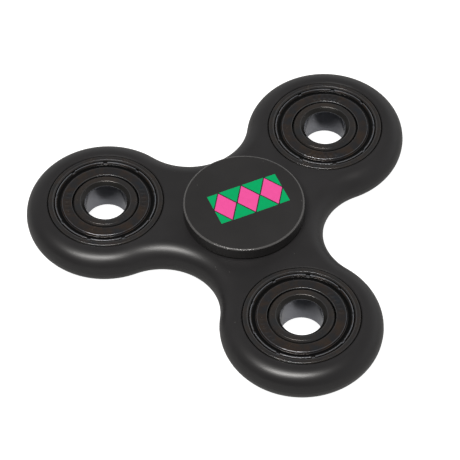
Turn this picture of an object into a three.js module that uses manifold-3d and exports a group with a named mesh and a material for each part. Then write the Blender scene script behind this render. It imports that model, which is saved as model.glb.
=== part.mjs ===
// A three-armed fidget spinner, in millimetres, +Z up, standing on its lower finger cap.
// The origin is the centre of that cap's resting face, on the axis that the body spins about.
// A moulded body holds four ball bearings of one size: one in the hub and one near the end of each arm.
// The two caps press into the hub bearing's inner ring, so fingers hold the caps while the body spins.

import * as THREE from "three";
import { mergeVertices } from "three/addons/utils/BufferGeometryUtils.js";
import Module from "manifold-3d";

const wasm = await Module();
wasm.setup();

// ---- Bearing: overall sizes ----
const boreRadius = 4;
const bearingRadius = 11;
const bearingWidth = 7;
const ballRadius = 1.984;
const ballsPerBearing = 7;
const pitchRadius = 7.5;

// ---- Bearing: rings ----
const grooveConformity = 1.04; // groove radius over ball radius
const grooveHalfAngle = THREE.MathUtils.degToRad(42);
const boreChamfer = 0.62;
const ringChamfer = 0.3;
const outerFaceWidth = 1; // from the recess bevel's edge to the ring's outside
const recessWall = 1.35; // radial thickness of the outer ring beside a shield
const recessBevel = 0.35;

// ---- Bearing: pressed sheet shields ----
const shieldSheet = 0.28;
const shieldInset = 0.2; // how far the shield's flat lies under the ring faces
const shieldGap = 0.33; // running gap round the inner ring
const shieldOverCage = 0.256; // running gap between a shield's trough and the cage under it
const shieldTroughWidth = 0.9;
const shieldRimWidth = 0.45;
const shieldRimRise = 0.42;
const shieldSlope = 0.2;

// ---- Bearing: two-piece ribbon cage ----
const cageSheet = 0.3;
const cageWidth = 1.8;
const pocketClearance = 0.1;
const tabWidth = 0.7;
const tabThickness = 0.2;
const tabReach = 0.6; // how far a tab's foot turns in under the other half
const tabClearance = 0.1;

// ---- Body ----
const armCount = 3;
const lobeWall = 4.1; // round each arm's bearing
const hubWall = 4; // at the waist between two arms
const bridgeWall = 4.3; // between the hub's bearing and an arm's
const edgeRounding = 3.4;

// ---- Finger caps ----
const capRadius = 11.4;
const capHeight = 2.9; // from the bearing's face to the finger's face
const capUnderGap = 0.3; // between the still cap and the spinning body
const capChamfer = 0.3;
const shoulderMargin = 0.2; // the shoulder stays this far inside the inner ring's face
const stemTipGap = 0.6; // between the tips of the two caps' stems
const stemWall = 1.4;
const stemFloor = 0.8; // solid plastic between the stem's hollow and the shoulder
const stemChamfer = 0.3;

// ---- Fits ----
const pressGap = 0.02; // drawn gap where two pieces are pressed together
const ballPlay = 0.02;

// ---- Facets ----
const ringFacets = 24;
const capFacets = 36;
const ballDetail = 1;
const roundingSteps = 3;
const lobeSteps = 15;
const waistSteps = 6;
const weldDistance = 1e-4;

// ---- Derived sizes ----
const bodyThickness = bearingWidth;
const halfWidth = bearingWidth / 2;
const recessRadius = bearingRadius - recessWall;
const cageTop = ballRadius + pocketClearance + cageSheet;
const troughUnder = cageTop + shieldOverCage;
const recessFloor = troughUnder - 2 * pressGap;
const stemLength = halfWidth - stemTipGap / 2;
const lobeRadius = bearingRadius + lobeWall;
const waistRadius = bearingRadius + hubWall;
const armRadius = 2 * bearingRadius + bridgeWall;
const middleHeight = capHeight + halfWidth;
const armStep = (2 * Math.PI) / armCount;
const ballStep = (2 * Math.PI) / ballsPerBearing;
const spinAxis = new THREE.Vector3(0, 0, 1);
const armAngles = { front: -Math.PI / 2, right: -Math.PI / 2 + armStep, left: -Math.PI / 2 - armStep };

// ---- Materials ----
function finish(color, roughness, metalness) {
  return () => new THREE.MeshStandardMaterial({ color, roughness, metalness });
}
const bodyPlastic = finish(0x323032, 0.42, 0);
const capPlastic = finish(0x333132, 0.5, 0);
const blackSteel = finish(0x2b2724, 0.25, 1);
const shieldSteel = finish(0x2e2a28, 0.3, 1);
const cageSteel = finish(0x8d8a84, 0.4, 1);
const ballSteel = finish(0xc9cacc, 0.12, 1);

function piece(name, geometry, material) {
  const mesh = new THREE.Mesh(geometry, material());
  mesh.name = name;
  return mesh;
}

// ---- Solids ----
function solidOf(geometry) {
  const bare = geometry.clone();
  bare.deleteAttribute("normal");
  bare.deleteAttribute("uv");
  const merged = mergeVertices(bare, weldDistance);
  return new wasm.Manifold(
    new wasm.Mesh({
      numProp: 3,
      vertProperties: merged.attributes.position.array,
      triVerts: new Uint32Array(merged.index.array),
    }),
  );
}

function geometryOf(solid) {
  const { vertProperties, triVerts } = solid.getMesh();
  const shared = new THREE.BufferGeometry();
  shared.setAttribute("position", new THREE.BufferAttribute(vertProperties, 3));
  shared.setIndex(new THREE.BufferAttribute(triVerts, 1));
  const flat = shared.toNonIndexed();
  flat.computeVertexNormals();
  return flat;
}

// Turns a section of [radius, height] points about Z. Its points run anticlockwise.
function turned(section, facets) {
  const points = section.map(([radius, height]) => new THREE.Vector2(radius, height));
  return new THREE.LatheGeometry(points, facets).rotateX(Math.PI / 2);
}

function turnedRing(section) {
  return turned([...section, section[0]], ringFacets);
}

// A box from its lowest and highest corners.
function boxBetween(low, high) {
  const size = high.map((value, axis) => value - low[axis]);
  const centre = high.map((value, axis) => (value + low[axis]) / 2);
  return new THREE.BoxGeometry(...size).translate(...centre);
}

// ---- Bearing ----

// The section of a race, as flats that touch an arc a little wider than the ball.
// side is 1 for the outer ring, whose groove opens inwards, and -1 for the inner ring.
function raceway(side) {
  const grooveRadius = ballRadius * grooveConformity;
  const arcCentre = pitchRadius + side * (ballRadius + ballPlay - grooveRadius);
  const corner = grooveRadius / Math.cos(grooveHalfAngle / 3);
  const turnedClear = side > 0 ? 1 / Math.cos(Math.PI / ringFacets) : 1;
  return [-1, -1 / 3, 1 / 3, 1].map((share) => {
    const angle = share * grooveHalfAngle;
    return [(arcCentre + side * corner * Math.cos(angle)) * turnedClear, corner * Math.sin(angle)];
  });
}

function outerRing() {
  const race = raceway(1).reverse();
  const landRadius = race[0][0];
  const faceEdge = bearingRadius - outerFaceWidth;
  const upper = [
    [bearingRadius, halfWidth - ringChamfer],
    [bearingRadius - ringChamfer, halfWidth],
    [faceEdge, halfWidth],
    [recessRadius, halfWidth - recessBevel],
    [recessRadius, recessFloor],
    [landRadius, recessFloor],
  ];
  const lower = upper.map(([radius, height]) => [radius, -height]).reverse();
  return turnedRing([...upper, ...race, ...lower]);
}

function innerRing() {
  const race = raceway(-1);
  const landRadius = race[0][0];
  const upper = [
    [landRadius, halfWidth - ringChamfer],
    [landRadius - ringChamfer, halfWidth],
    [boreRadius + boreChamfer, halfWidth],
    [boreRadius, halfWidth - boreChamfer],
  ];
  const lower = upper.map(([radius, height]) => [radius, -height]).reverse();
  return turnedRing([...lower, ...race, ...upper]);
}

// The upper shield: a flat, a trough, and a rim that is crimped into the outer ring's recess.
function shield() {
  const boreEdge = raceway(-1)[0][0] + shieldGap;
  const rimOutside = recessRadius - 2 * pressGap;
  const rimInside = rimOutside - shieldRimWidth;
  const troughInside = rimInside - shieldTroughWidth;
  const flatTop = halfWidth - shieldInset;
  const troughTop = troughUnder + shieldSheet;
  return turnedRing([
    [boreEdge, flatTop - shieldSheet],
    [troughInside - shieldSlope, flatTop - shieldSheet],
    [troughInside, troughUnder],
    [rimOutside, troughUnder],
    [rimOutside, troughTop + shieldRimRise],
    [rimInside, troughTop + shieldRimRise],
    [rimInside, troughTop],
    [troughInside, troughTop],
    [troughInside - shieldSlope, flatTop],
    [boreEdge, flatTop],
  ]);
}

// The upper cage half without its tabs: a ribbon that arches over each ball and lies flat between.
function cageRibbon() {
  const flats = 4; // flats in the half circle of a pocket
  const pocket = pocketClearance + ballRadius;
  const turn = Math.PI / flats;
  const radii = [pitchRadius - cageWidth / 2, pitchRadius + cageWidth / 2];
  const positions = [];
  const addStation = (middle, under, over) => {
    const corners = [
      [radii[0], under],
      [radii[1], under],
      [radii[1], over],
      [radii[0], over],
    ];
    for (const [radius, [along, height]] of corners) {
      const angle = middle + along / pitchRadius;
      positions.push(radius * Math.cos(angle), radius * Math.sin(angle), height);
    }
  };
  const onPocket = (reach, angle) => [
    (reach / Math.cos(turn / 2)) * Math.sin(angle),
    (reach / Math.cos(turn / 2)) * Math.cos(angle),
  ];
  for (let ball = 0; ball < ballsPerBearing; ball += 1) {
    const middle = ball * ballStep;
    addStation(middle, [-pocket, pressGap], [-pocket - cageSheet, pressGap + cageSheet]);
    for (let flat = 0; flat < flats; flat += 1) {
      const angle = -Math.PI / 2 + (flat + 0.5) * turn;
      addStation(middle, onPocket(pocket, angle), onPocket(pocket + cageSheet, angle));
    }
    addStation(middle, [pocket, pressGap], [pocket + cageSheet, pressGap + cageSheet]);
  }
  const stations = positions.length / 12;
  const faces = [];
  for (let station = 0; station < stations; station += 1) {
    const here = station * 4;
    const next = ((station + 1) % stations) * 4;
    for (let corner = 0; corner < 4; corner += 1) {
      const other = (corner + 1) % 4;
      faces.push(here + corner, next + other, here + other);
      faces.push(here + corner, next + corner, next + other);
    }
  }
  const ribbon = new THREE.BufferGeometry();
  ribbon.setAttribute("position", new THREE.Float32BufferAttribute(positions, 3));
  ribbon.setIndex(faces);
  return ribbon;
}

// The upper cage half with its tabs, which hook round the outside of the lower half between the balls.
function tabbedCage() {
  const webOutside = pitchRadius + cageWidth / 2;
  const postInside = webOutside + tabClearance;
  const postOutside = postInside + tabThickness;
  const webTop = pressGap + cageSheet;
  const footTop = -webTop - tabClearance / 2;
  const footUnder = footTop - tabThickness;
  const half = tabWidth / 2;
  const tabParts = [
    boxBetween([webOutside - tabReach, -half, pressGap], [postOutside, half, webTop]),
    boxBetween([postInside, -half, footUnder], [postOutside, half, webTop]),
    boxBetween([postOutside - tabReach, -half, footUnder], [postOutside, half, footTop]),
  ];
  let cage = solidOf(cageRibbon());
  for (let web = 0; web < ballsPerBearing; web += 1) {
    for (const part of tabParts) {
      cage = cage.add(solidOf(part.clone().rotateZ((web + 0.5) * ballStep)));
    }
  }
  return geometryOf(cage);
}

const outerRingShape = outerRing();
const innerRingShape = innerRing();
const shieldShape = shield();
const tabbedCageShape = tabbedCage();
const plainCageShape = cageRibbon().toNonIndexed();
plainCageShape.computeVertexNormals();
const ballShape = new THREE.IcosahedronGeometry(ballRadius, ballDetail);

// One whole bearing, centred on its own middle plane.
function bearing(place) {
  const group = new THREE.Group();
  group.add(piece(`${place}_outer_ring`, outerRingShape, blackSteel));
  group.add(piece(`${place}_inner_ring`, innerRingShape, blackSteel));
  group.add(piece(`${place}_upper_shield`, shieldShape, shieldSteel));
  group.add(piece(`${place}_upper_cage`, tabbedCageShape, cageSteel));
  const lowerShield = piece(`${place}_lower_shield`, shieldShape, shieldSteel);
  const lowerCage = piece(`${place}_lower_cage`, plainCageShape, cageSteel);
  for (const under of [lowerShield, lowerCage]) {
    under.rotation.x = Math.PI;
    group.add(under);
  }
  for (let ball = 0; ball < ballsPerBearing; ball += 1) {
    const mesh = piece(`${place}_ball_${ball + 1}`, ballShape, ballSteel);
    mesh.position.set(pitchRadius, 0, 0).applyAxisAngle(spinAxis, ball * ballStep);
    group.add(mesh);
  }
  return group;
}

// ---- Body ----

// Points along an arc from one angle to another, without the last one.
function arcPoints(x, y, radius, from, to, steps) {
  return Array.from({ length: steps }, (_, step) => {
    const angle = from + ((to - from) * step) / steps;
    return new THREE.Vector2(x + radius * Math.cos(angle), y + radius * Math.sin(angle));
  });
}

// The body's outline, moved in by inset: a lobe round each bearing, joined by hollow waists.
function outline(inset) {
  const waistHollow =
    (armRadius ** 2 - 2 * armRadius * waistRadius * Math.cos(armStep / 2) + waistRadius ** 2 - lobeRadius ** 2) /
    (2 * armRadius * Math.cos(armStep / 2) + 2 * lobeRadius - 2 * waistRadius);
  const points = [];
  for (const armAngle of [armAngles.front, armAngles.right, armAngles.left + 2 * Math.PI]) {
    const lobe = new THREE.Vector2(armRadius, 0).rotateAround(new THREE.Vector2(), armAngle);
    const hollow = new THREE.Vector2(waistRadius + waistHollow, 0);
    hollow.rotateAround(new THREE.Vector2(), armAngle + armStep / 2);
    const towardsHollow = hollow.clone().sub(lobe).angle();
    const sweep = THREE.MathUtils.euclideanModulo(towardsHollow - armAngle, 2 * Math.PI);
    const hollowSweep = armStep - 2 * sweep;
    const lobeStart = armAngle - sweep;
    const hollowStart = armAngle + sweep + Math.PI;
    points.push(...arcPoints(lobe.x, lobe.y, lobeRadius - inset, lobeStart, armAngle + sweep, lobeSteps));
    points.push(
      ...arcPoints(hollow.x, hollow.y, waistHollow + inset, hollowStart, hollowStart + hollowSweep, waistSteps),
    );
  }
  return new THREE.Shape(points);
}

function spinnerBody() {
  const rounding = Math.min(edgeRounding, bodyThickness / 2 - 0.1);
  const slab = new THREE.ExtrudeGeometry(outline(rounding), {
    depth: bodyThickness - 2 * rounding,
    bevelThickness: rounding,
    bevelSize: rounding,
    bevelSegments: roundingSteps,
  });
  slab.translate(0, 0, rounding - bodyThickness / 2);
  const seatRadius = bearingRadius + pressGap;
  const seat = new THREE.CylinderGeometry(seatRadius, seatRadius, 2 * bodyThickness, ringFacets);
  seat.rotateX(Math.PI / 2);
  let body = solidOf(slab).subtract(solidOf(seat));
  for (const angle of Object.values(armAngles)) {
    const armSeat = seat.clone().translate(armRadius * Math.cos(angle), armRadius * Math.sin(angle), 0);
    body = body.subtract(solidOf(armSeat));
  }
  return geometryOf(body);
}

// ---- Finger caps ----

// The upper cap, from the bearing's face at height 0: a disc, a shoulder that stands on the inner
// ring, and a hollow stem pressed into its bore.
function cap() {
  const shoulderRadius = raceway(-1)[0][0] - ringChamfer - shoulderMargin;
  const stemRadius = boreRadius * Math.cos(Math.PI / ringFacets) - pressGap;
  return turned(
    [
      [0, -stemFloor],
      [stemRadius - stemWall, -stemFloor],
      [stemRadius - stemWall, -stemLength],
      [stemRadius - stemChamfer, -stemLength],
      [stemRadius, stemChamfer - stemLength],
      [stemRadius, pressGap],
      [shoulderRadius, pressGap],
      [shoulderRadius, capUnderGap],
      [capRadius, capUnderGap],
      [capRadius, capHeight - capChamfer],
      [capRadius - capChamfer, capHeight],
      [0, capHeight],
    ],
    capFacets,
  );
}

// ---- Assembly ----
const spinner = new THREE.Group();

const middle = new THREE.Group();
middle.position.z = middleHeight;
spinner.add(middle);

middle.add(piece("spinner_body", spinnerBody(), bodyPlastic));
middle.add(bearing("hub"));
for (const [place, angle] of Object.entries(armAngles)) {
  const armBearing = bearing(place);
  armBearing.position.set(armRadius * Math.cos(angle), armRadius * Math.sin(angle), 0);
  middle.add(armBearing);
}

const capShape = cap();
const upperCap = piece("upper_cap", capShape, capPlastic);
upperCap.position.z = halfWidth;
const lowerCap = piece("lower_cap", capShape, capPlastic);
lowerCap.position.z = -halfWidth;
lowerCap.rotation.x = Math.PI;
middle.add(upperCap, lowerCap);

export default spinner;
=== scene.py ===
import math

import bmesh
import bpy
from mathutils import Matrix, Quaternion, Vector


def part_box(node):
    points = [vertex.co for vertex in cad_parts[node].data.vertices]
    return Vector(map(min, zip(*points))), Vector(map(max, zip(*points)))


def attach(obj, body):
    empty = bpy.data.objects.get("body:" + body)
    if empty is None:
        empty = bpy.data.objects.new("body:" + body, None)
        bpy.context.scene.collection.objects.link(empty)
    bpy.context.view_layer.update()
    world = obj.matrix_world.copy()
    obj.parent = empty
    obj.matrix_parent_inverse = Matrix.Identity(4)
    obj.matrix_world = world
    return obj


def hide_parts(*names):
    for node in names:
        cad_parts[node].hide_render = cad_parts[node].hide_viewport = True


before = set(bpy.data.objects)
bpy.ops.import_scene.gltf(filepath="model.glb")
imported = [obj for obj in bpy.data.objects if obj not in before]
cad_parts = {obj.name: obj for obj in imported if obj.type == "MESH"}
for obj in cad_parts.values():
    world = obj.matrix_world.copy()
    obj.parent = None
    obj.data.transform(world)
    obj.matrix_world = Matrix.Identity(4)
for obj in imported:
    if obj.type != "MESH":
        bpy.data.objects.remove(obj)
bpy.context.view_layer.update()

# A three-armed fidget spinner: moulded body, four shielded ball bearings, two finger caps and a printed
# motif. Everything is in metres. The bearings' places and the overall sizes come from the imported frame.

MM = 0.001

# ---- Places and sizes from the frame ----
ARMS = ("front", "right", "left")
PLACES = ("hub",) + ARMS
BALLS_PER_BEARING = 7


def middle_of(node):
    low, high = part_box(node)
    return (low + high) / 2


def half_size_of(node):
    low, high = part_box(node)
    return (high - low) / 2


CENTRES = {place: middle_of(f"{place}_outer_ring") for place in PLACES}
BEARING_RADIUS = half_size_of("hub_outer_ring").x
HALF_WIDTH = half_size_of("hub_outer_ring").z
ARM_RADIUS = (CENTRES["front"] - CENTRES["hub"]).length
CAP_RADIUS = half_size_of("upper_cap").x
CAP_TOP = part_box("upper_cap")[1].z - CENTRES["hub"].z
STEM_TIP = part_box("upper_cap")[0].z - CENTRES["hub"].z
BALL_CENTRES = {
    place: [middle_of(f"{place}_ball_{ball + 1}") for ball in range(BALLS_PER_BEARING)]
    for place in PLACES
}
PITCH_RADIUS = (BALL_CENTRES["hub"][0] - CENTRES["hub"]).length

# ---- Sizes of the bearings' rings ----
BORE_RADIUS = 4 * MM
BORE_CHAMFER = 0.72 * MM
RING_CHAMFER = 0.3 * MM
SHOULDER_RISE = 0.42 * MM
SHOULDER_BAND = (1.9 * MM, 2.55 * MM)
OUTER_FACE_WIDTH = 1 * MM
RECESS_WALL = 1.35 * MM
RECESS_BEVEL = 0.35 * MM
BALL_RADIUS = 1.984 * MM
BALL_PLAY = 0.02 * MM
GROOVE_RADIUS = 1.04 * BALL_RADIUS
GROOVE_HALF_ANGLE = math.radians(42)
GROOVE_STEPS = 12
PRESS_GAP = 0.02 * MM
SMALL_FILLET = 0.08 * MM
LIP_FILLET = 0.04 * MM
OUTER_CORNER_FILLET = 0.18 * MM
INNER_CORNER_FILLET = 0.16 * MM
BORE_MOUTH_FILLET = 0.26 * MM
BORE_FILLET = 0.2 * MM
BALL_CUTS = 11

# ---- Sizes of the shields ----
SHIELD_SHEET = 0.28 * MM
SHIELD_INSET = 0.2 * MM
SHIELD_GAP = 0.33 * MM
SHIELD_OVER_CAGE = 0.256 * MM
TROUGH_WIDTH = 0.8 * MM
RIM_WIDTH = 0.45 * MM
RIM_RISE = 0.42 * MM
RIM_SLANT = 0.05 * MM
RIM_FILLET = 0.19 * MM
SHIELD_SLOPE = 0.1 * MM
SLOPE_FILLET = 0.28 * MM
TROUGH_FILLET = 0.12 * MM
SHIELD_EDGE_FILLET = 0.12 * MM
SHIELD_STEPS = 360
NOTCHES = 9
NOTCH_HALF_ANGLE = math.radians(2.1)
NOTCH_FLOOR = 0.03 * MM
NOTCH_START = {
    "hub": 0,
    "front": math.radians(-21.4),
    "right": math.radians(-23.4),
    "left": math.radians(-11.5),
}
MARK_DEPTH = 0.06 * MM
MARK_BAND = (6.95 * MM, 7.6 * MM)
MARK_EDGE = 0.05 * MM
MARK_STEP = math.radians(8)
MARK_HALF_ANGLE = math.radians(1.1)
MARKS_PER_GROUP = 6
MARK_GROUP_ANGLE = {
    "hub": 0,
    "front": math.radians(2),
    "right": math.radians(62),
    "left": math.radians(-20),
}

# ---- Sizes of the cages ----
CAGE_SHEET = 0.3 * MM
CAGE_WIDTH = 1.8 * MM
POCKET_CLEARANCE = 0.1 * MM
POCKET_STEPS = 14
TAB_WIDTH = 0.7 * MM
TAB_THICKNESS = 0.2 * MM
TAB_REACH = 0.6 * MM
TAB_CLEARANCE = 0.1 * MM
TAB_OVERLAP = 0.02 * MM
TAB_INNER_BEND = 0.04 * MM
TAB_OUTER_BEND = 0.15 * MM

# ---- Sizes of the body ----
LOBE_WALL = 4.1 * MM
HUB_WALL = 4 * MM
EDGE_ROUNDING = 3.4 * MM
SEAT_CHAMFER = 0.18 * MM
PARTING_RIDGE = 0.015 * MM
ROUNDING_STEPS = 18
LOBE_STEPS = 72
WAIST_STEPS = 30

# ---- Sizes of the finger caps ----
CAP_UNDER_GAP = 0.3 * MM
CAP_EDGE = 0.3 * MM
SHOULDER_MARGIN = 0.2 * MM
STEM_WALL = 1.4 * MM
STEM_FLOOR = 0.8 * MM
STEM_CHAMFER = 0.3 * MM
STEM_TIP_FILLET = 0.05 * MM
STEM_FILLET = 0.1 * MM
STEM_ROOT_FILLET = 0.02 * MM
HOLLOW_FILLET = 0.2 * MM
SHOULDER_FILLET = 0.1 * MM
CAP_UNDER_FILLET = 0.15 * MM
CAP_FILLET_STEPS = 6
CAP_STEPS = 180

# ---- Printed motif on the upper cap ----
PRINT_HEIGHT = 0.02 * MM
PRINT_GAP = 0.16 * MM
DIAMOND_WIDTH = 4.7 * MM
DIAMOND_HEIGHT = 7.2 * MM
PRINT_CENTRE = Vector((1.1 * MM, 0.4 * MM, 0))

TURNED_STEPS = 144
FILLET_STEPS = 4
SHARP_ANGLE = math.radians(38)


# ---- Section of the bearing ----
def race_points(side):
    """The groove's section, from below to above. side is 1 for the outer ring and -1 for the inner ring."""
    arc_centre = PITCH_RADIUS + side * (BALL_RADIUS + BALL_PLAY - GROOVE_RADIUS)
    points = []
    for step in range(GROOVE_STEPS + 1):
        angle = GROOVE_HALF_ANGLE * (2 * step / GROOVE_STEPS - 1)
        points.append((arc_centre + side * GROOVE_RADIUS * math.cos(angle), GROOVE_RADIUS * math.sin(angle)))
    return points


LAND_RADIUS = race_points(-1)[0][0]
CAGE_TOP = BALL_RADIUS + POCKET_CLEARANCE + CAGE_SHEET
TROUGH_UNDER = CAGE_TOP + SHIELD_OVER_CAGE
TROUGH_TOP = TROUGH_UNDER + SHIELD_SHEET
RECESS_RADIUS = BEARING_RADIUS - RECESS_WALL
RECESS_FLOOR = TROUGH_UNDER - 2 * PRESS_GAP
RIM_OUTSIDE = RECESS_RADIUS - 2 * PRESS_GAP
RIM_INSIDE = RIM_OUTSIDE - RIM_WIDTH
TROUGH_INSIDE = RIM_INSIDE - TROUGH_WIDTH
FLAT_TOP = HALF_WIDTH - SHIELD_INSET


# ---- Mesh making ----
def finished_mesh(name, bm):
    """The bmesh as smooth-shaded mesh data, with its hard corners kept."""
    bmesh.ops.recalc_face_normals(bm, faces=bm.faces)
    mesh = bpy.data.meshes.new(name)
    bm.to_mesh(mesh)
    bm.free()
    mesh.shade_smooth()
    mesh.set_sharp_from_angle(angle=SHARP_ANGLE)
    return mesh


def filleted(corners, steps=FILLET_STEPS):
    """Points of a section whose corners are (radius, height) or (radius, height, fillet)."""
    points = []
    count = len(corners)
    for index, corner in enumerate(corners):
        here = Vector(corner[:2])
        fillet = corner[2] if len(corner) > 2 else 0
        if not fillet:
            points.append(here)
            continue
        before = (Vector(corners[index - 1][:2]) - here).normalized()
        after = (Vector(corners[(index + 1) % count][:2]) - here).normalized()
        half = before.angle(after) / 2
        centre = here + (before + after).normalized() * fillet / math.sin(half)
        start = here + before * fillet / math.tan(half) - centre
        end = here + after * fillet / math.tan(half) - centre
        sweep = start.angle_signed(end)
        for step in range(steps + 1):
            turned_by = Matrix.Rotation(-sweep * step / steps, 2)
            points.append(centre + turned_by @ start)
    return [(point.x, point.y) for point in points]


def turned_mesh(name, section, steps=TURNED_STEPS, relief=None):
    """Turns a closed section of (radius, height) points about Z; points at radius 0 lie on the axis."""
    bm = bmesh.new()
    columns = []
    for step in range(steps):
        angle = 2 * math.pi * step / steps
        column = []
        for radius, height in section:
            if radius == 0 and columns:
                column.append(columns[0][len(column)])
                continue
            if relief:
                radius, height = relief(radius, height, angle)
            column.append(bm.verts.new((radius * math.cos(angle), radius * math.sin(angle), height)))
        columns.append(column)
    for step, column in enumerate(columns):
        beside = columns[(step + 1) % steps]
        for index in range(len(section)):
            after = (index + 1) % len(section)
            corners = [column[index], beside[index], beside[after], column[after]]
            distinct = list(dict.fromkeys(corners))
            if len(distinct) > 2:
                bm.faces.new(distinct)
    return finished_mesh(name, bm)


def mirrored(points):
    """The same points on the other side of the middle plane, in reverse order."""
    return [(point[0], -point[1], *point[2:]) for point in reversed(points)]


def add_piece(name, mesh, body, node, material, at, turn=None):
    """Puts a mesh in place as a piece that rides on a body and, but for a print, stands for a CAD node."""
    piece = bpy.data.objects.new(name, mesh)
    bpy.context.scene.collection.objects.link(piece)
    piece.matrix_world = Matrix.Translation(at) @ (turn or Matrix.Identity(4))
    if not mesh.materials:
        mesh.materials.append(material)
    keep_flats = piece.modifiers.new("even_shading", "WEIGHTED_NORMAL")
    keep_flats.keep_sharp = True
    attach(piece, body)
    if node:
        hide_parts(node)


# ---- Shader helpers ----
def add_node(tree, kind, inputs=None, **settings):
    """Adds a shader node, with its settings and its inputs given as values or as sockets to link."""
    made = tree.nodes.new(kind)
    for key, value in settings.items():
        setattr(made, key, value)
    for key, value in (inputs or {}).items():
        if isinstance(value, bpy.types.NodeSocket):
            tree.links.new(value, made.inputs[key])
        else:
            made.inputs[key].default_value = value
    return made


def calculate(tree, operation, first, second=0.0, clamp=False):
    """The output of one Math node."""
    made = add_node(tree, "ShaderNodeMath", {0: first, 1: second}, operation=operation, use_clamp=clamp)
    return made.outputs[0]


def blend_colours(tree, factor, first, second):
    """The output of a colour Mix node."""
    made = tree.nodes.new("ShaderNodeMix")
    made.data_type = "RGBA"
    for socket, value in ((made.inputs[0], factor), (made.inputs[6], first), (made.inputs[7], second)):
        if isinstance(value, bpy.types.NodeSocket):
            tree.links.new(value, socket)
        else:
            socket.default_value = value
    return made.outputs[2]


def in_millimetres(tree):
    """The piece's own coordinates, in millimetres."""
    coordinates = add_node(tree, "ShaderNodeTexCoord")
    scaled = add_node(tree, "ShaderNodeVectorMath", {0: coordinates.outputs["Object"]}, operation="SCALE")
    scaled.inputs["Scale"].default_value = 1 / MM
    return scaled.outputs[0]


def radius_in_millimetres(tree):
    """How far a point is from the piece's own axis."""
    place = add_node(tree, "ShaderNodeSeparateXYZ", {0: in_millimetres(tree)})
    across = calculate(tree, "MULTIPLY", place.outputs[0], place.outputs[0])
    along = calculate(tree, "MULTIPLY", place.outputs[1], place.outputs[1])
    return calculate(tree, "SQRT", calculate(tree, "ADD", across, along))


def new_effect(name, inputs, outputs):
    """An empty shader node group with its sockets; inputs and outputs are {name: (kind, default)}."""
    tree = bpy.data.node_groups.new(name, "ShaderNodeTree")
    for label, (kind, default) in inputs.items():
        socket = tree.interface.new_socket(label, in_out="INPUT", socket_type=kind)
        socket.default_value = default
    for label, kind in outputs.items():
        tree.interface.new_socket(label, in_out="OUTPUT", socket_type=kind)
    given = tree.nodes.new("NodeGroupInput")
    result = tree.nodes.new("NodeGroupOutput")
    return tree, given.outputs, result.inputs


def use_effect(tree, effect, inputs=None):
    """Places an effect in a material and returns its outputs."""
    return add_node(tree, "ShaderNodeGroup", inputs, node_tree=effect).outputs


FLOAT = "NodeSocketFloat"
COLOUR = "NodeSocketColor"
NOISE_SPAN = (0.3, 0.7)
WARM_SPAN = (0.42, 0.66)
COOL_SPAN = (0.5, 0.7)
COOL_OFFSET = (17.0, 5.0, 9.0)
SPECK_CORE = 0.04
SPECK_EDGE = 0.1


# ---- Effects that several materials share ----
def moulded_grain_effect():
    """Fine pebbled texture of a moulded face, with slow unevenness in its gloss."""
    tree, given, result = new_effect(
        "moulded_grain",
        {"Grains per mm": (FLOAT, 6.0), "Patches per mm": (FLOAT, 0.12)},
        {"Height": FLOAT, "Patches": FLOAT},
    )
    place = in_millimetres(tree)
    grain = add_node(
        tree, "ShaderNodeTexNoise",
        {"Vector": place, "Scale": given["Grains per mm"], "Detail": 3.0},
    )
    patches = add_node(
        tree, "ShaderNodeTexNoise",
        {"Vector": place, "Scale": given["Patches per mm"], "Detail": 4.0},
    )
    tree.links.new(grain.outputs[0], result["Height"])
    tree.links.new(patches.outputs[0], result["Patches"])
    return tree


def turning_lines_effect():
    """Fine lines that a lathe or grinder leaves round the piece's own axis."""
    tree, given, result = new_effect(
        "turning_lines",
        {"Lines per mm": (FLOAT, 7.0), "Unevenness": (FLOAT, 0.2)},
        {"Height": FLOAT},
    )
    place = add_node(tree, "ShaderNodeSeparateXYZ", {0: in_millimetres(tree)})
    spread = calculate(tree, "MULTIPLY", radius_in_millimetres(tree), given["Lines per mm"])
    depth = calculate(tree, "MULTIPLY", place.outputs[2], given["Lines per mm"])
    line_place = add_node(tree, "ShaderNodeCombineXYZ", {0: spread, 1: depth})
    lines = add_node(
        tree, "ShaderNodeTexNoise",
        {"Vector": line_place.outputs[0], "Scale": 1.0, "Detail": 2.0, "Distortion": given["Unevenness"]},
    )
    tree.links.new(lines.outputs[0], result["Height"])
    return tree


def oxide_mottle_effect():
    """Uneven black oxide: warm brown and cool blue blooms over the steel."""
    tree, given, result = new_effect(
        "oxide_mottle",
        {
            "Base": (COLOUR, (0.05, 0.05, 0.05, 1)),
            "Warm": (COLOUR, (0.08, 0.06, 0.045, 1)),
            "Cool": (COLOUR, (0.04, 0.05, 0.06, 1)),
            "Blooms per mm": (FLOAT, 0.35),
        },
        {"Color": COLOUR, "Bloom": FLOAT},
    )
    place = in_millimetres(tree)
    blooms = add_node(
        tree, "ShaderNodeTexNoise",
        {"Vector": place, "Scale": given["Blooms per mm"], "Detail": 5.0, "Roughness": 0.6},
    )
    moved = add_node(tree, "ShaderNodeVectorMath", {0: place, 1: COOL_OFFSET}, operation="ADD")
    streaks = add_node(
        tree, "ShaderNodeTexNoise",
        {"Vector": moved.outputs[0], "Scale": given["Blooms per mm"], "Detail": 6.0, "Roughness": 0.7},
    )
    warm = add_node(
        tree, "ShaderNodeMapRange",
        {"Value": blooms.outputs[0], "From Min": WARM_SPAN[0], "From Max": WARM_SPAN[1]},
    )
    cool = add_node(
        tree, "ShaderNodeMapRange",
        {"Value": streaks.outputs[0], "From Min": COOL_SPAN[0], "From Max": COOL_SPAN[1]},
    )
    warmed = blend_colours(tree, warm.outputs[0], given["Base"], given["Warm"])
    cooled = blend_colours(tree, cool.outputs[0], warmed, given["Cool"])
    tree.links.new(cooled, result["Color"])
    tree.links.new(blooms.outputs[0], result["Bloom"])
    return tree


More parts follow.
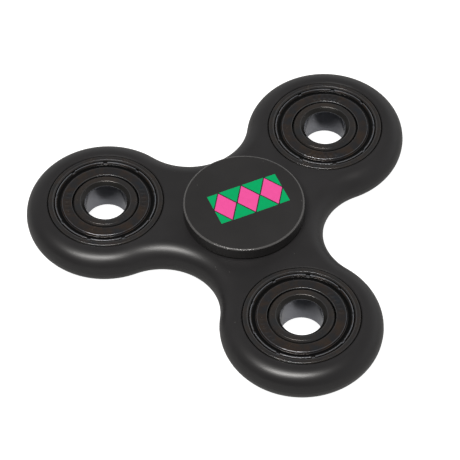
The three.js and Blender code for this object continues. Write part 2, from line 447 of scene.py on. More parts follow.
def dust_effect():
    """A sparse mask of tiny pale specks."""
    tree, given, result = new_effect(
        "dust",
        {"Specks per mm": (FLOAT, 1.6), "Amount": (FLOAT, 0.04)},
        {"Mask": FLOAT},
    )
    cells = add_node(
        tree, "ShaderNodeTexVoronoi",
        {"Vector": in_millimetres(tree), "Scale": given["Specks per mm"]},
        feature="F1",
    )
    chance = add_node(tree, "ShaderNodeSeparateColor", {0: cells.outputs["Color"]})
    chosen = calculate(tree, "LESS_THAN", chance.outputs[0], given["Amount"])
    near = add_node(
        tree, "ShaderNodeMapRange",
        {"Value": cells.outputs["Distance"], "From Min": SPECK_EDGE, "From Max": SPECK_CORE},
    )
    tree.links.new(calculate(tree, "MULTIPLY", chosen, near.outputs[0]), result["Mask"])
    return tree


def ring_band_effect():
    """A soft-edged mask of a band round the piece's own axis. A half width below 0 leaves a fainter line."""
    tree, given, result = new_effect(
        "ring_band",
        {
            "Radius mm": (FLOAT, 10.0),
            "Half Width mm": (FLOAT, 0.2),
            "Softness mm": (FLOAT, 0.1),
            "Lowest mm": (FLOAT, -10.0),
        },
        {"Mask": FLOAT},
    )
    beyond = calculate(tree, "SUBTRACT", radius_in_millimetres(tree), given["Radius mm"])
    away = calculate(tree, "ABSOLUTE", beyond)
    outside = calculate(tree, "SUBTRACT", away, given["Half Width mm"])
    share = calculate(tree, "DIVIDE", outside, given["Softness mm"])
    within = calculate(tree, "SUBTRACT", 1.0, share, clamp=True)
    place = add_node(tree, "ShaderNodeSeparateXYZ", {0: in_millimetres(tree)})
    above = calculate(tree, "GREATER_THAN", place.outputs[2], given["Lowest mm"])
    tree.links.new(calculate(tree, "MULTIPLY", within, above), result["Mask"])
    return tree


MOULDED_GRAIN = moulded_grain_effect()
TURNING_LINES = turning_lines_effect()
OXIDE_MOTTLE = oxide_mottle_effect()
DUST = dust_effect()
RING_BAND = ring_band_effect()


# ---- Materials ----
PALE_DUST = (0.3, 0.3, 0.29, 1)
WARM_DUST = (0.5, 0.47, 0.42, 1)
DARK_DUST = (0.05, 0.05, 0.05, 1)
DUST_ON_PLASTIC = 0.35
DUST_ON_STEEL = 0.5
DUST_ON_INK = 0.4
BAND_SOFTNESS = 0.06 * MM
# How metallic the painted shade in seams, gaps and the trough makes the steel.
PAINTED_SHADE_METAL = 0.65
GROUND_POLISH = 0.14
INK_SHINE = 0.12
INK_THINNING = 0.6
INK_GLOSS = (0.45, 0.6)
INK_DEPTH = 0.004 * MM

# Tints of the narrow rings on the steel parts.
# Painted shade: near black, for seams, gaps and the shield's trough.
PAINTED_SHADE = (0.004, 0.004, 0.004, 1)
SHADED = (0.02, 0.019, 0.018, 1)
# Painted highlight: pale grey lines along edges of the rings and the shield.
PAINTED_EDGE_HIGHLIGHT = (0.085, 0.086, 0.09, 1)
# Painted highlight: bluish grey, on the shield's rim crest and the top of its slope.
BRIGHT = (0.15, 0.158, 0.175, 1)
GROUND = (0.31, 0.32, 0.355, 1)


def new_material(name):
    """A material with its shader node joined to its output, its tree and the shader."""
    material = bpy.data.materials.new(name)
    material.use_nodes = True
    tree = material.node_tree
    tree.nodes.clear()
    shader = tree.nodes.new("ShaderNodeBsdfPrincipled")
    output = tree.nodes.new("ShaderNodeOutputMaterial")
    tree.links.new(shader.outputs[0], output.inputs[0])
    return material, tree, shader


def feed(tree, shader, socket, value):
    tree.links.new(value, shader.inputs[socket])


def add_bump(tree, shader, height, depth):
    bump = add_node(tree, "ShaderNodeBump", {"Height": height, "Distance": depth, "Strength": 1.0})
    feed(tree, shader, "Normal", bump.outputs[0])


def spread_between(tree, value, low, high):
    """A noise value stretched to lie between low and high."""
    ramp = add_node(
        tree, "ShaderNodeMapRange",
        {"Value": value, "From Min": NOISE_SPAN[0], "From Max": NOISE_SPAN[1], "To Min": low, "To Max": high},
    )
    return ramp.outputs[0]


def band_sizes(radius, half_width, softness, lowest):
    """The inputs of a ring band, from lengths in metres; the band starts above the lowest height."""
    return {
        "Radius mm": radius / MM,
        "Half Width mm": half_width / MM,
        "Softness mm": softness / MM,
        "Lowest mm": lowest / MM,
    }


def plastic(name, base, pale, gloss, grain_depth, grains, wear_and_sheen_ring, wear_and_sheen_colour, polish):
    """Moulded black plastic: base and pale are its colour and its dust-pale colour, gloss its roughness
    range. Its ring band is a colour of its own, smoother by polish: finger wear on the body, a painted
    highlight along the cap's top edge."""
    material, tree, shader = new_material(name)
    grain = use_effect(tree, MOULDED_GRAIN, {"Grains per mm": grains})
    dust = use_effect(tree, DUST, {"Specks per mm": 1.1, "Amount": 0.05})
    uneven = blend_colours(tree, spread_between(tree, grain["Patches"], 0.0, 1.0), base, pale)
    speckled = calculate(tree, "MULTIPLY", dust["Mask"], DUST_ON_PLASTIC)
    dusty = blend_colours(tree, speckled, uneven, PALE_DUST)
    rough = spread_between(tree, grain["Patches"], *gloss)
    wear_and_sheen = use_effect(tree, RING_BAND, wear_and_sheen_ring)
    feed(tree, shader, "Base Color", blend_colours(tree, wear_and_sheen["Mask"], dusty, wear_and_sheen_colour))
    polished = calculate(tree, "MULTIPLY", wear_and_sheen["Mask"], polish)
    feed(tree, shader, "Roughness", calculate(tree, "SUBTRACT", rough, polished))
    add_bump(tree, shader, grain["Height"], grain_depth)
    return material


def oxide_steel(name, base, warm, cool, gloss, metal, line_depth, blooms, bands):
    """Black oxide steel, ground or pressed. gloss and metal are its ranges of roughness and metallic, blooms
    is how many there are per mm, and bands are rings of (tint, radius, half width, lowest height)."""
    material, tree, shader = new_material(name)
    mottle = use_effect(
        tree, OXIDE_MOTTLE, {"Base": base, "Warm": warm, "Cool": cool, "Blooms per mm": blooms}
    )
    lines = use_effect(tree, TURNING_LINES)
    dust = use_effect(tree, DUST, {"Specks per mm": 1.9, "Amount": 0.04})
    banded = mottle["Color"]
    metallic = spread_between(tree, mottle["Bloom"], *metal)
    rough = spread_between(tree, mottle["Bloom"], *gloss)
    for tint, radius, half_width, lowest in bands:
        band = use_effect(tree, RING_BAND, band_sizes(radius, half_width, BAND_SOFTNESS, lowest))
        banded = blend_colours(tree, band["Mask"], banded, tint)
        # The near-black tint is painted shade, and it makes the steel more metallic there.
        if tint == PAINTED_SHADE:
            dark_metal = calculate(tree, "MULTIPLY", band["Mask"], PAINTED_SHADE_METAL)
            metallic = calculate(tree, "MAXIMUM", metallic, dark_metal)
        if tint == GROUND:
            polished = calculate(tree, "MULTIPLY", band["Mask"], GROUND_POLISH)
            metallic = calculate(tree, "MAXIMUM", metallic, band["Mask"])
            rough = calculate(tree, "SUBTRACT", rough, polished)
    speckled = calculate(tree, "MULTIPLY", dust["Mask"], DUST_ON_STEEL)
    feed(tree, shader, "Base Color", blend_colours(tree, speckled, banded, WARM_DUST))
    feed(tree, shader, "Roughness", rough)
    feed(tree, shader, "Metallic", metallic)
    add_bump(tree, shader, lines["Height"], line_depth)
    return material


def bare_steel(name, base, dull, gloss, line_depth):
    """Bright steel of the parts inside a bearing, under a thin film of grease."""
    material, tree, shader = new_material(name)
    lines = use_effect(tree, TURNING_LINES, {"Lines per mm": 5.0})
    grain = use_effect(tree, MOULDED_GRAIN, {"Grains per mm": 8.0, "Patches per mm": 0.6})
    film = spread_between(tree, grain["Patches"], 0.0, 1.0)
    feed(tree, shader, "Base Color", blend_colours(tree, film, base, dull))
    feed(tree, shader, "Roughness", spread_between(tree, grain["Patches"], *gloss))
    shader.inputs["Metallic"].default_value = 1.0
    add_bump(tree, shader, lines["Height"], line_depth)
    return material


def ink(name, base, thin):
    """Screen-printed ink, a little thinner in places, on the cap's matt face."""
    material, tree, shader = new_material(name)
    grain = use_effect(tree, MOULDED_GRAIN, {"Grains per mm": 7.0, "Patches per mm": 0.9})
    dust = use_effect(tree, DUST, {"Specks per mm": 1.4, "Amount": 0.03})
    patchy = blend_colours(tree, spread_between(tree, grain["Patches"], 0.0, INK_THINNING), base, thin)
    speckled = calculate(tree, "MULTIPLY", dust["Mask"], DUST_ON_INK)
    feed(tree, shader, "Base Color", blend_colours(tree, speckled, patchy, DARK_DUST))
    feed(tree, shader, "Roughness", spread_between(tree, grain["Patches"], *INK_GLOSS))
    shader.inputs["Specular IOR Level"].default_value = INK_SHINE
    add_bump(tree, shader, grain["Height"], INK_DEPTH)
    return material


BODY_PLASTIC = plastic(
    "body_plastic",
    base=(0.0148, 0.0141, 0.0148, 1),
    pale=(0.0185, 0.0175, 0.0185, 1),
    gloss=(0.35, 0.4),
    grain_depth=0.006 * MM,
    grains=6.0,
    wear_and_sheen_ring=band_sizes(ARM_RADIUS + BEARING_RADIUS + LOBE_WALL, 2 * MM, 6 * MM, -BEARING_RADIUS),
    wear_and_sheen_colour=(0.016, 0.0152, 0.016, 1),
    polish=0.04,
)
# The cap's pale, smoother band along its top edge is a painted highlight.
CAP_PLASTIC = plastic(
    "cap_plastic",
    base=(0.0125, 0.0117, 0.012, 1),
    pale=(0.0155, 0.0145, 0.0148, 1),
    gloss=(0.46, 0.52),
    grain_depth=0.008 * MM,
    grains=8.0,
    wear_and_sheen_ring=band_sizes(CAP_RADIUS - 0.14 * MM, 0.16 * MM, 0.06 * MM, CAP_TOP - 0.7 * CAP_EDGE),
    wear_and_sheen_colour=(0.085, 0.083, 0.083, 1),
    polish=0.3,
)

# How low a band reaches: over the whole piece, or over all of it but the flat lower face.
WHOLE = -BEARING_RADIUS
ABOVE_LOWER_FACE = -HALF_WIDTH
RING_BANDS = [
    (PAINTED_SHADE, BEARING_RADIUS - 1.32 * MM, 0.07 * MM, ABOVE_LOWER_FACE),  # painted shade in the seam round the shield
    (PAINTED_SHADE, BEARING_RADIUS, 0.1 * MM, ABOVE_LOWER_FACE),  # painted shade in the seam round the ring
    (PAINTED_EDGE_HIGHLIGHT, BEARING_RADIUS - 0.3 * MM, -0.02 * MM, WHOLE),  # painted highlight, a faint line, on the corner of the outer ring's face
    (PAINTED_EDGE_HIGHLIGHT, BEARING_RADIUS - 0.98 * MM, 0.02 * MM, WHOLE),  # painted highlight on the lip above the shield
    (SHADED, BORE_RADIUS + 0.34 * MM, 0.32 * MM, ABOVE_LOWER_FACE),  # chamfer of the bore
    (PAINTED_EDGE_HIGHLIGHT, BORE_RADIUS + 0.8 * MM, 0.0, WHOLE),  # painted highlight on the mouth of the bore
    (PAINTED_SHADE, LAND_RADIUS + 0.3 * MM, 0.22 * MM, WHOLE),  # painted shade on the shoulder under the shield's gap
    (GROUND, BORE_RADIUS - 0.1 * MM, 0.11 * MM, ABOVE_LOWER_FACE),  # wall of the bore
]
SHIELD_BANDS = [
    (PAINTED_SHADE, BEARING_RADIUS - 2.19 * MM, 0.3 * MM, ABOVE_LOWER_FACE),  # painted shade on the floor of the trough
    (BRIGHT, BEARING_RADIUS - 1.57 * MM, 0.04 * MM, WHOLE),  # painted highlight on the crest of the crimped rim
    (BRIGHT, TROUGH_INSIDE - SHIELD_SLOPE - 0.08 * MM, -0.01 * MM, WHOLE),  # painted highlight, a faint line, on the top of the slope
    (PAINTED_EDGE_HIGHLIGHT, LAND_RADIUS + SHIELD_GAP + 0.03 * MM, 0.03 * MM, WHOLE),  # painted highlight on the inner edge of the shield
]
BLACK_STEEL = oxide_steel(
    "black_steel",
    base=(0.036, 0.034, 0.034, 1),
    warm=(0.054, 0.044, 0.038, 1),
    cool=(0.032, 0.034, 0.037, 1),
    gloss=(0.22, 0.3),
    metal=(0.4, 0.55),
    line_depth=0.0006 * MM,
    blooms=0.3,
    bands=RING_BANDS,
)
SHIELD_STEEL = oxide_steel(
    "shield_steel",
    base=(0.025, 0.024, 0.025, 1),
    warm=(0.05, 0.035, 0.026, 1),
    cool=(0.022, 0.026, 0.032, 1),
    gloss=(0.2, 0.28),
    metal=(0.3, 0.5),
    line_depth=0.0004 * MM,
    blooms=0.35,
    bands=SHIELD_BANDS,
)
CAGE_STEEL = bare_steel(
    "cage_steel",
    base=(0.5, 0.49, 0.46, 1),
    dull=(0.34, 0.33, 0.31, 1),
    gloss=(0.3, 0.42),
    line_depth=0.003 * MM,
)
BALL_STEEL = bare_steel(
    "ball_steel",
    base=(0.8, 0.8, 0.8, 1),
    dull=(0.68, 0.68, 0.67, 1),
    gloss=(0.06, 0.12),
    line_depth=0.0005 * MM,
)
PINK_INK = ink("pink_ink", (0.8, 0.085, 0.33, 1), (0.72, 0.07, 0.29, 1))
GREEN_INK = ink("green_ink", (0.0, 0.37, 0.12, 1), (0.0, 0.31, 0.1, 1))


# ---- Bearing ----
def outer_ring_mesh():
    """The outer ring: its groove, the recesses that hold the shields, and its flat faces."""
    race = race_points(1)[::-1]
    upper = [
        (BEARING_RADIUS, HALF_WIDTH - RING_CHAMFER, SMALL_FILLET),
        (BEARING_RADIUS - RING_CHAMFER, HALF_WIDTH, OUTER_CORNER_FILLET),
        (BEARING_RADIUS - OUTER_FACE_WIDTH, HALF_WIDTH, SMALL_FILLET),
        (RECESS_RADIUS, HALF_WIDTH - RECESS_BEVEL, LIP_FILLET),
        (RECESS_RADIUS, RECESS_FLOOR),
        (race[0][0], RECESS_FLOOR),
    ]
    return turned_mesh("outer_ring", filleted([*upper, *race, *mirrored(upper)]))


def inner_ring_mesh():
    """The inner ring: its groove, a low shoulder under each shield, and the chamfered bore."""
    race = race_points(-1)
    shoulder_under, shoulder_top = SHOULDER_BAND
    shoulder_radius = LAND_RADIUS + SHOULDER_RISE
    upper = [
        (shoulder_radius, shoulder_under, SMALL_FILLET),
        (shoulder_radius, shoulder_top, SMALL_FILLET),
        (LAND_RADIUS, shoulder_top, SMALL_FILLET),
        (LAND_RADIUS, HALF_WIDTH - RING_CHAMFER, SMALL_FILLET),
        (LAND_RADIUS - RING_CHAMFER, HALF_WIDTH, INNER_CORNER_FILLET),
        (BORE_RADIUS + BORE_CHAMFER, HALF_WIDTH, BORE_MOUTH_FILLET),
        (BORE_RADIUS, HALF_WIDTH - BORE_CHAMFER, BORE_FILLET),
    ]
    return turned_mesh("inner_ring", filleted([*mirrored(upper), *race, *upper]))


def shield_mesh(notch_start, mark_angle):
    """The upper shield, with its crimped rim's notches and two groups of plain stamped ticks on its flat."""
    flat_marks = []
    for edge in MARK_BAND:
        flat_marks.append(edge - MARK_EDGE)
        flat_marks.append(edge + MARK_EDGE)
    section = filleted([
        (LAND_RADIUS + SHIELD_GAP, FLAT_TOP - SHIELD_SHEET),
        (TROUGH_INSIDE - SHIELD_SLOPE, FLAT_TOP - SHIELD_SHEET),
        (TROUGH_INSIDE, TROUGH_UNDER),
        (RIM_OUTSIDE, TROUGH_UNDER),
        (RIM_OUTSIDE, TROUGH_TOP + RIM_RISE, RIM_FILLET),
        (RIM_INSIDE + RIM_SLANT, TROUGH_TOP + RIM_RISE, RIM_FILLET),
        (RIM_INSIDE, TROUGH_TOP, SMALL_FILLET),
        (TROUGH_INSIDE, TROUGH_TOP, TROUGH_FILLET),
        (TROUGH_INSIDE - SHIELD_SLOPE, FLAT_TOP, SLOPE_FILLET),
        *[(radius, FLAT_TOP) for radius in reversed(flat_marks)],
        (LAND_RADIUS + SHIELD_GAP, FLAT_TOP, SHIELD_EDGE_FILLET),
    ])
    first_mark = mark_angle - MARK_STEP * (MARKS_PER_GROUP - 1) / 2

    def relief(radius, height, angle):
        """Presses the rim's notches down to the trough, and the ticks into the flat."""
        from_notch = math.remainder(angle - notch_start, 2 * math.pi / NOTCHES)
        if radius > RIM_INSIDE - NOTCH_FLOOR and height > TROUGH_TOP + NOTCH_FLOOR:
            if abs(from_notch) < NOTCH_HALF_ANGLE:
                return radius, TROUGH_TOP + NOTCH_FLOOR
        in_group = (angle - first_mark + MARK_STEP / 2) % math.pi
        from_mark = in_group % MARK_STEP - MARK_STEP / 2
        on_mark = in_group < MARK_STEP * MARKS_PER_GROUP and abs(from_mark) < MARK_HALF_ANGLE
        if on_mark and height > FLAT_TOP - PRESS_GAP and MARK_BAND[0] < radius < MARK_BAND[1]:
            return radius, height - MARK_DEPTH
        return radius, height

    return turned_mesh("shield", section, SHIELD_STEPS, relief)


def ribbon_into(bm):
    """The cage's ribbon: it arches over each ball and lies flat between them."""
    pocket = POCKET_CLEARANCE + BALL_RADIUS
    stations = []
    for ball in range(BALLS_PER_BEARING):
        middle = 2 * math.pi * ball / BALLS_PER_BEARING
        for step in range(POCKET_STEPS + 1):
            angle = math.pi * (step / POCKET_STEPS - 0.5)
            under = (pocket * math.sin(angle), pocket * math.cos(angle) + PRESS_GAP)
            reach = pocket + CAGE_SHEET
            over_height = max(reach * math.cos(angle), CAGE_SHEET) + PRESS_GAP
            over = (reach * math.sin(angle), over_height)
            stations.append((middle, under, over))
    rings = []
    for middle, under, over in stations:
        ring = []
        inside = PITCH_RADIUS - CAGE_WIDTH / 2
        outside = PITCH_RADIUS + CAGE_WIDTH / 2
        for radius, (along, height) in ((inside, under), (outside, under), (outside, over), (inside, over)):
            angle = middle + along / PITCH_RADIUS
            ring.append(bm.verts.new((radius * math.cos(angle), radius * math.sin(angle), height)))
        rings.append(ring)
    for index, ring in enumerate(rings):
        beside = rings[(index + 1) % len(rings)]
        for corner in range(4):
            after = (corner + 1) % 4
            bm.faces.new((ring[corner], beside[corner], beside[after], ring[after]))


def tab_into(bm, web):
    """One tab, which hooks round the outside of the other half between two balls."""
    web_outside = PITCH_RADIUS + CAGE_WIDTH / 2
    post_inside = web_outside + TAB_CLEARANCE
    post_outside = post_inside + TAB_THICKNESS
    web_top = PRESS_GAP + CAGE_SHEET
    foot_top = -web_top - TAB_CLEARANCE / 2
    foot_under = foot_top - TAB_THICKNESS
    section = filleted([
        (web_outside - TAB_OVERLAP, PRESS_GAP),
        (post_inside, PRESS_GAP, TAB_INNER_BEND),
        (post_inside, foot_top, TAB_INNER_BEND),
        (post_outside - TAB_REACH, foot_top),
        (post_outside - TAB_REACH, foot_under),
        (post_outside, foot_under, TAB_OUTER_BEND),
        (post_outside, web_top, TAB_OUTER_BEND),
        (web_outside - TAB_OVERLAP, web_top),
    ])
    turn = Matrix.Rotation(2 * math.pi * (web + 0.5) / BALLS_PER_BEARING, 3, "Z")
    sides = []
    for side in (-TAB_WIDTH / 2, TAB_WIDTH / 2):
        sides.append([bm.verts.new(turn @ Vector((radius, side, height))) for radius, height in section])
    for index in range(len(section)):
        after = (index + 1) % len(section)
        bm.faces.new((sides[0][index], sides[0][after], sides[1][after], sides[1][index]))
    for side in sides:
        bm.faces.new(side)


def cage_mesh(with_tabs):
    """The upper half of a cage; the lower half is the same without tabs, turned over."""
    bm = bmesh.new()
    ribbon_into(bm)
    if with_tabs:
        for web in range(BALLS_PER_BEARING):
            tab_into(bm, web)
    return finished_mesh("tabbed_cage" if with_tabs else "plain_cage", bm)


def ball_mesh():
    """A round ball with even faces: a divided cube blown out to a sphere."""
    bm = bmesh.new()
    bmesh.ops.create_cube(bm, size=1)
    bmesh.ops.subdivide_edges(bm, edges=bm.edges, cuts=BALL_CUTS, use_grid_fill=True)
    for vert in bm.verts:
        vert.co = vert.co.normalized() * BALL_RADIUS
    return finished_mesh("ball", bm)


UPSIDE_DOWN = Matrix.Rotation(math.pi, 4, "X")
OUTER_RING = outer_ring_mesh()
INNER_RING = inner_ring_mesh()
TABBED_CAGE = cage_mesh(True)
PLAIN_CAGE = cage_mesh(False)
BALL = ball_mesh()


def bearing(place):
    """The thirteen pieces of one bearing, on the bodies that they turn with."""
    centre = CENTRES[place]
    inner_body = "hub" if place == "hub" else f"{place}_inner_race"
    cage_body = f"{place}_cage"
    shield = shield_mesh(NOTCH_START[place], MARK_GROUP_ANGLE[place])
    parts = [
        ("outer_ring", OUTER_RING, "spinner_frame", "black_steel", BLACK_STEEL, None),
        ("inner_ring", INNER_RING, inner_body, "black_steel", BLACK_STEEL, None),
        ("upper_shield", shield, "spinner_frame", "shield_steel", SHIELD_STEEL, None),
        ("lower_shield", shield, "spinner_frame", "shield_steel", SHIELD_STEEL, UPSIDE_DOWN),
        ("upper_cage", TABBED_CAGE, cage_body, "cage_steel", CAGE_STEEL, None),
        ("lower_cage", PLAIN_CAGE, cage_body, "cage_steel", CAGE_STEEL, UPSIDE_DOWN),
    ]
    for part, mesh, body, slot, material, turn in parts:
        add_piece(f"{place}_bearing_{part}", mesh, body, f"{place}_{part}", material, centre, turn)
    for ball, spot in enumerate(BALL_CENTRES[place], 1):
        name = f"{place}_bearing_ball_{ball}"
        add_piece(name, BALL, cage_body, f"{place}_ball_{ball}", BALL_STEEL, spot)


# ---- Body ----
def outline(inset):
    """The body's outline, moved in by inset: a round lobe on each arm, joined by hollow waists."""
    lobe_radius = BEARING_RADIUS + LOBE_WALL
    waist_radius = BEARING_RADIUS + HUB_WALL
    arm_step = 2 * math.pi / len(ARMS)
    half_reach = ARM_RADIUS * math.cos(arm_step / 2)
    hollow_radius = (
        ARM_RADIUS**2 - 2 * half_reach * waist_radius + waist_radius**2 - lobe_radius**2
    ) / (2 * (half_reach + lobe_radius - waist_radius))
    hollow_distance = waist_radius + hollow_radius
    across = hollow_distance * math.sin(arm_step / 2)
    beyond = hollow_distance * math.cos(arm_step / 2) - ARM_RADIUS
    sweep = math.atan2(across, beyond)
    hollow_sweep = arm_step - 2 * sweep
    points = []
    for arm in range(len(ARMS)):
        arm_angle = -math.pi / 2 + arm * arm_step
        lobe = Vector((math.cos(arm_angle), math.sin(arm_angle))) * ARM_RADIUS
        hollow_angle = arm_angle + arm_step / 2
        hollow = Vector((math.cos(hollow_angle), math.sin(hollow_angle))) * hollow_distance
        arcs = (
            (lobe, lobe_radius - inset, arm_angle - sweep, 2 * sweep, LOBE_STEPS),
            (hollow, hollow_radius + inset, arm_angle + sweep + math.pi, hollow_sweep, WAIST_STEPS),
        )
        for centre, radius, start, turned_by, steps in arcs:
            for step in range(steps):
                angle = start + turned_by * step / steps
                points.append(centre + radius * Vector((math.cos(angle), math.sin(angle))))
    return points


def joined_rows(bm, rows):
    """Faces between rows of vertices that each run once round."""
    for upper, lower in zip(rows, rows[1:]):
        for index in range(len(upper)):
            after = (index + 1) % len(upper)
            bm.faces.new((upper[index], upper[after], lower[after], lower[index]))


def ring_edges(bm, row):
    """The edges of a closed row of vertices, made where there are none yet."""
    edges = []
    for index, vert in enumerate(row):
        ends = (vert, row[(index + 1) % len(row)])
        edges.append(bm.edges.get(ends) or bm.edges.new(ends))
    return edges


def body_mesh():
    """The moulding: a slab with fully rounded edges, a faint parting ridge and a seat for each bearing."""
    bm = bmesh.new()
    straight = HALF_WIDTH - EDGE_ROUNDING
    levels = []
    for step in range(ROUNDING_STEPS + 1):
        angle = math.pi / 2 * step / ROUNDING_STEPS
        inset = EDGE_ROUNDING * (1 - math.sin(angle))
        levels.append((inset, straight + EDGE_ROUNDING * math.cos(angle)))
    levels = [*levels, (-PARTING_RIDGE, 0), *mirrored(levels)]
    rim_rows = []
    for inset, height in levels:
        rim_rows.append([bm.verts.new((*point, height)) for point in outline(inset)])
    joined_rows(bm, rim_rows)
    seat_radius = BEARING_RADIUS + PRESS_GAP
    seat_levels = [(seat_radius + SEAT_CHAMFER, HALF_WIDTH), (seat_radius, HALF_WIDTH - SEAT_CHAMFER)]
    seat_levels = [*seat_levels, *mirrored(seat_levels)]
    top_edges = ring_edges(bm, rim_rows[0])
    bottom_edges = ring_edges(bm, rim_rows[-1])
    for place in PLACES:
        centre = CENTRES[place] - CENTRES["hub"]
        seat_rows = []
        for radius, height in seat_levels:
            row = []
            for step in range(TURNED_STEPS):
                angle = 2 * math.pi * step / TURNED_STEPS
                spot = (centre.x + radius * math.cos(angle), centre.y + radius * math.sin(angle), height)
                row.append(bm.verts.new(spot))
            seat_rows.append(row)
        joined_rows(bm, seat_rows)
        top_edges += ring_edges(bm, seat_rows[0])
        bottom_edges += ring_edges(bm, seat_rows[-1])
    for edges in (top_edges, bottom_edges):
        bmesh.ops.triangle_fill(bm, use_beauty=True, use_dissolve=False, edges=edges)
    return finished_mesh("spinner_body", bm)


# ---- Finger caps ----
def cap_mesh():
    """The upper cap about the bearing's middle: a disc, a shoulder on the inner ring, and a hollow stem."""
    under = HALF_WIDTH + CAP_UNDER_GAP
    shoulder = HALF_WIDTH + PRESS_GAP
    shoulder_radius = LAND_RADIUS - RING_CHAMFER - SHOULDER_MARGIN
    stem_radius = BORE_RADIUS - 2 * PRESS_GAP
    hollow_top = HALF_WIDTH - STEM_FLOOR
    section = filleted([
        (0, hollow_top),
        (stem_radius - STEM_WALL, hollow_top, HOLLOW_FILLET),
        (stem_radius - STEM_WALL, STEM_TIP, STEM_FILLET),
        (stem_radius - STEM_CHAMFER, STEM_TIP, STEM_TIP_FILLET),
        (stem_radius, STEM_TIP + STEM_CHAMFER, STEM_FILLET),
        (stem_radius, shoulder, STEM_ROOT_FILLET),
        (shoulder_radius, shoulder, SHOULDER_FILLET),
        (shoulder_radius, under, SHOULDER_FILLET),
        (CAP_RADIUS, under, CAP_UNDER_FILLET),
        (CAP_RADIUS, CAP_TOP, CAP_EDGE),
        (CAP_RADIUS - 2 * CAP_EDGE, CAP_TOP),
        (0, CAP_TOP),
    ], CAP_FILLET_STEPS)
    return turned_mesh("finger_cap", section, CAP_STEPS)


# ---- Printed motif: three diamonds in a block, with triangles filling it up ----
def print_facets():
    """The motif's facets as (colour, corner points), each point as shares of a diamond's width and height."""
    facets = []
    for column in (-1, 0, 1):
        left, right = column - 0.5, column + 0.5
        facets.append(("pink", [(left, 0), (column, -0.5), (right, 0), (column, 0.5)]))
    for side in (-0.5, 0.5):
        facets.append(("green", [(-1.5, side), (-1, side), (-1.5, 0)]))
        facets.append(("green", [(-1, side), (0, side), (-0.5, 0)]))
        facets.append(("green", [(0, side), (1, side), (0.5, 0)]))
        facets.append(("green", [(1, side), (1.5, side), (1.5, 0)]))
    return facets


def shrunk(points, gap):
    """The outline drawn in towards its middle, its nearest corner by gap."""
    centre = sum(points, Vector((0, 0))) / len(points)
    nearest_corner = min((point - centre).length for point in points)
    share = 1 - gap / nearest_corner
    return [centre + (point - centre) * share for point in points]


def print_mesh(colour):
    """All the motif's facets of one colour, as thin plates of ink."""
    bm = bmesh.new()
    for facet_colour, shares in print_facets():
        if facet_colour != colour:
            continue
        points = [Vector((x * DIAMOND_WIDTH, y * DIAMOND_HEIGHT)) for x, y in shares]
        rows = []
        for height in (0, PRINT_HEIGHT):
            rows.append([bm.verts.new((*point, height)) for point in shrunk(points, PRINT_GAP)])
        joined_rows(bm, rows)
        for row in rows:
            bm.faces.new(row)
    return finished_mesh(f"{colour}_print", bm)


# ---- Assembly ----
for place in PLACES:
    bearing(place)

MIDDLE = CENTRES["hub"]
add_piece("moulded_body", body_mesh(), "spinner_frame", "spinner_body", BODY_PLASTIC, MIDDLE)
CAP = cap_mesh()
add_piece("upper_finger_cap", CAP, "hub", "upper_cap", CAP_PLASTIC, MIDDLE)
add_piece("lower_finger_cap", CAP, "hub", "lower_cap", CAP_PLASTIC, MIDDLE, UPSIDE_DOWN)
print_spot = MIDDLE + PRINT_CENTRE + Vector((0, 0, CAP_TOP))
for colour, material in (("pink", PINK_INK), ("green", GREEN_INK)):
    add_piece(f"{colour}_cap_print", print_mesh(colour), "hub", None, material, print_spot)


# ---- Camera ----
CAMERA_SPOT = Vector((-126.63, -295.47, 414.42)) * MM
CAMERA_AIM = Vector((-4.14, -2.93, 9.9)) * MM
CAMERA_ROLL = math.radians(-0.933)
LENS = 215.04
SENSOR = 36.0

camera_data = bpy.data.cameras.new("camera")
camera_data.lens = LENS
camera_data.sensor_width = SENSOR
camera = bpy.data.objects.new("camera", camera_data)
camera.location = CAMERA_SPOT
camera.rotation_mode = "QUATERNION"
looking = (CAMERA_AIM - CAMERA_SPOT).to_track_quat("-Z", "Y")
camera.rotation_quaternion = looking @ Quaternion((0, 0, 1), CAMERA_ROLL)
bpy.context.scene.collection.objects.link(camera)
bpy.context.scene.camera = camera
bpy.context.scene.view_settings.view_transform = "Standard"
bpy.context.view_layer.update()


# ---- Studio ----
FLOOR_SIZE = 8.0
FLOOR_DROP = 0.02 * MM
FLOOR_COLOUR = (0.38, 0.38, 0.38, 1)
FLOOR_ROUGHNESS = 0.9
FLOOR_GLOW = 0.02
BRIGHT_WALL_AZIMUTH = 120
BRIGHT_WALL = 0.62
DIM_WALL = 0.05
CEILING_SHARE = 0.1
WALL_TOP = 0.36


def pale_floor():
    """A plain white light table, which gives hardly a shadow and is clear when seen from below."""
    bm = bmesh.new()
    bmesh.ops.create_grid(bm, x_segments=1, y_segments=1, size=FLOOR_SIZE / 2)
    mesh = bpy.data.meshes.new("floor")
    bm.to_mesh(mesh)
    bm.free()
    material, tree, shader = new_material("pale_floor")
    shader.inputs["Base Color"].default_value = FLOOR_COLOUR
    shader.inputs["Roughness"].default_value = FLOOR_ROUGHNESS
    shader.inputs["Specular IOR Level"].default_value = 0
    shader.inputs["Emission Color"].default_value = (1, 1, 1, 1)
    sight = add_node(tree, "ShaderNodeLightPath")
    glow = add_node(
        tree, "ShaderNodeMapRange",
        {"Value": sight.outputs["Is Camera Ray"], "To Min": FLOOR_GLOW, "To Max": 1.0},
    )
    feed(tree, shader, "Emission Strength", glow.outputs[0])
    side = add_node(tree, "ShaderNodeNewGeometry")
    glass = add_node(tree, "ShaderNodeBsdfTransparent")
    either = add_node(
        tree, "ShaderNodeMixShader",
        {0: side.outputs["Backfacing"], 1: shader.outputs[0], 2: glass.outputs[0]},
    )
    output = tree.nodes["Material Output"]
    tree.links.new(either.outputs[0], output.inputs[0])
    mesh.materials.append(material)
    floor = bpy.data.objects.new("floor", mesh)
    floor.location.z = -FLOOR_DROP
    bpy.context.scene.collection.objects.link(floor)


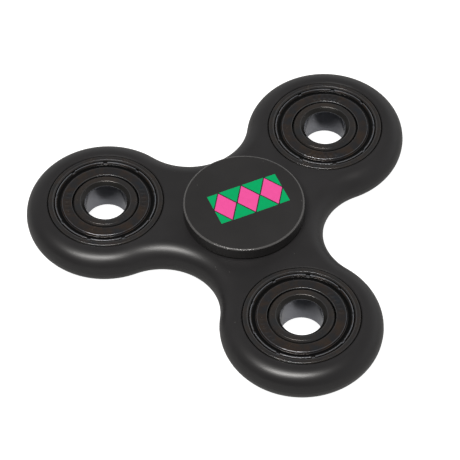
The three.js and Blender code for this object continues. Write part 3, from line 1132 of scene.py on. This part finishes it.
def softbox(name, azimuth, elevation, distance, width, length, power, colour):
    """A soft area light aimed at the object, level from side to side as the camera sees it.
    azimuth 0 is in front of the object, on the -Y side."""
    data = bpy.data.lights.new(name, "AREA")
    data.shape = "RECTANGLE"
    data.size = width
    data.size_y = length
    data.energy = power
    data.color = colour
    light = bpy.data.objects.new(name, data)
    turn, rise = math.radians(azimuth), math.radians(elevation)
    away = Vector((math.sin(turn) * math.cos(rise), -math.cos(turn) * math.cos(rise), math.sin(rise)))
    level = (camera.matrix_world.to_3x3() @ Vector((1, 0, 0))).cross(away)
    across = away.cross(level).normalized()
    upward = away.cross(across)
    axes = Matrix((across, upward, away)).transposed()
    light.matrix_world = Matrix.Translation(MIDDLE + away * distance) @ axes.to_4x4()
    bpy.context.scene.collection.objects.link(light)


def studio_walls():
    """Pale walls, brightest behind the object on the right, fading up into a dim ceiling. They light the
    object, and the camera sees them as plain white."""
    world = bpy.data.worlds.new("studio")
    bpy.context.scene.world = world
    world.use_nodes = True
    tree = world.node_tree
    tree.nodes.clear()
    direction = add_node(tree, "ShaderNodeTexCoord")
    turn = math.radians(BRIGHT_WALL_AZIMUTH)
    bright_side = (math.sin(turn), -math.cos(turn), 0)
    facing = add_node(
        tree, "ShaderNodeVectorMath",
        {0: direction.outputs["Generated"], 1: bright_side},
        operation="DOT_PRODUCT",
    )
    share = {"From Min": -1.0, "From Max": 1.0, "To Min": DIM_WALL, "To Max": BRIGHT_WALL}
    side = add_node(tree, "ShaderNodeMapRange", {"Value": facing.outputs["Value"], **share})
    height = add_node(tree, "ShaderNodeSeparateXYZ", {0: direction.outputs["Generated"]})
    rise = {"From Min": WALL_TOP, "From Max": 1.0, "To Min": 1.0, "To Max": CEILING_SHARE}
    fade = add_node(tree, "ShaderNodeMapRange", {"Value": height.outputs[2], **rise})
    level = calculate(tree, "MULTIPLY", side.outputs[0], fade.outputs[0])
    sight = add_node(tree, "ShaderNodeLightPath")
    shown = blend_colours(tree, sight.outputs["Is Camera Ray"], level, (1, 1, 1, 1))
    background = add_node(tree, "ShaderNodeBackground", {0: shown})
    output = tree.nodes.new("ShaderNodeOutputWorld")
    tree.links.new(background.outputs[0], output.inputs[0])


pale_floor()
studio_walls()
softbox(
    "overhead_softbox",
    azimuth=-49.5,
    elevation=67.3,
    distance=1.0,
    width=0.6,
    length=0.12,
    power=11,
    colour=(1, 0.98, 0.95),
)
